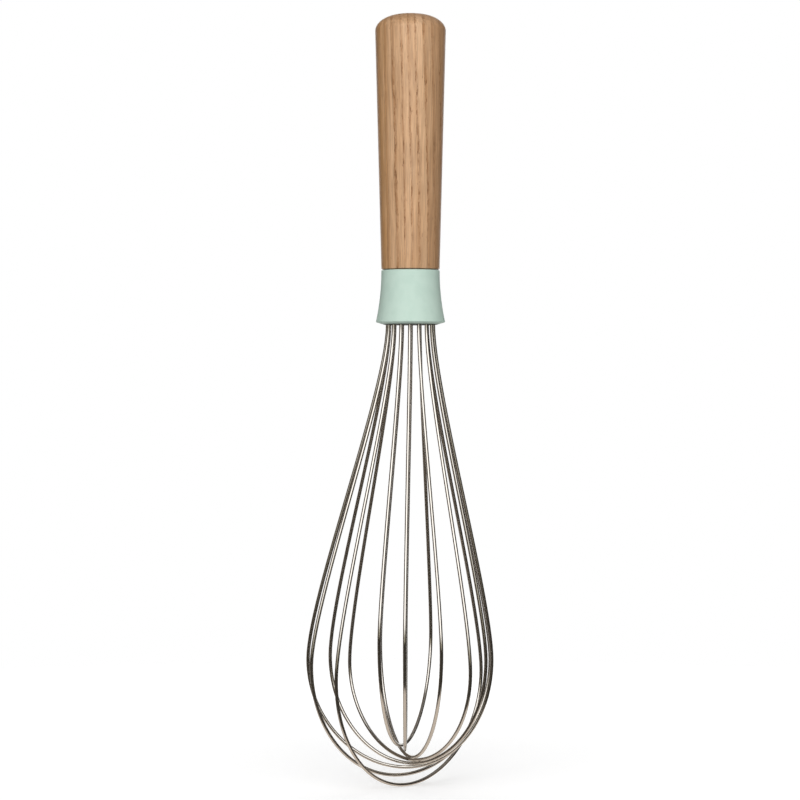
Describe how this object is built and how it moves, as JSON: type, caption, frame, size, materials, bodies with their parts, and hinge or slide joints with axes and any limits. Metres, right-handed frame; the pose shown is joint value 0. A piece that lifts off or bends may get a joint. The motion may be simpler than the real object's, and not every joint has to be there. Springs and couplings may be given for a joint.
{
  "type": "whisk",
  "caption": "Balloon whisk for mixing and beating: a tapered ash handle with a domed butt, a flared pale green collar and a cage of nested steel wire loops.",
  "frame": {"origin": "middle of the small flat on the end of the handle", "axes": "+Z along the handle, out of its end; the cage hangs towards -Z. The picture looks along +Y with +X to the right"},
  "size_m": [0.0726, 0.0725, 0.2993],
  "materials": {
    "ash_wood": "straight-grained ash, satin oil",
    "collar_plastic": "fine matte moulding",
    "core_nylon": "plain moulding",
    "potting_resin": "poured resin",
    "steel_wire": "bright polished stainless wire"
  },
  "bodies": {
    "root": {"handle": "ash_wood", "collar": "collar_plastic", "wire_core": "core_nylon", "seal_resin": "potting_resin", "wire_loop_1": "steel_wire", "wire_loop_2": "steel_wire", "wire_loop_3": "steel_wire", "wire_loop_4": "steel_wire", "wire_loop_5": "steel_wire", "wire_loop_6": "steel_wire", "wire_loop_7": "steel_wire", "wire_loop_8": "steel_wire"}
  },
  "joints": []
}
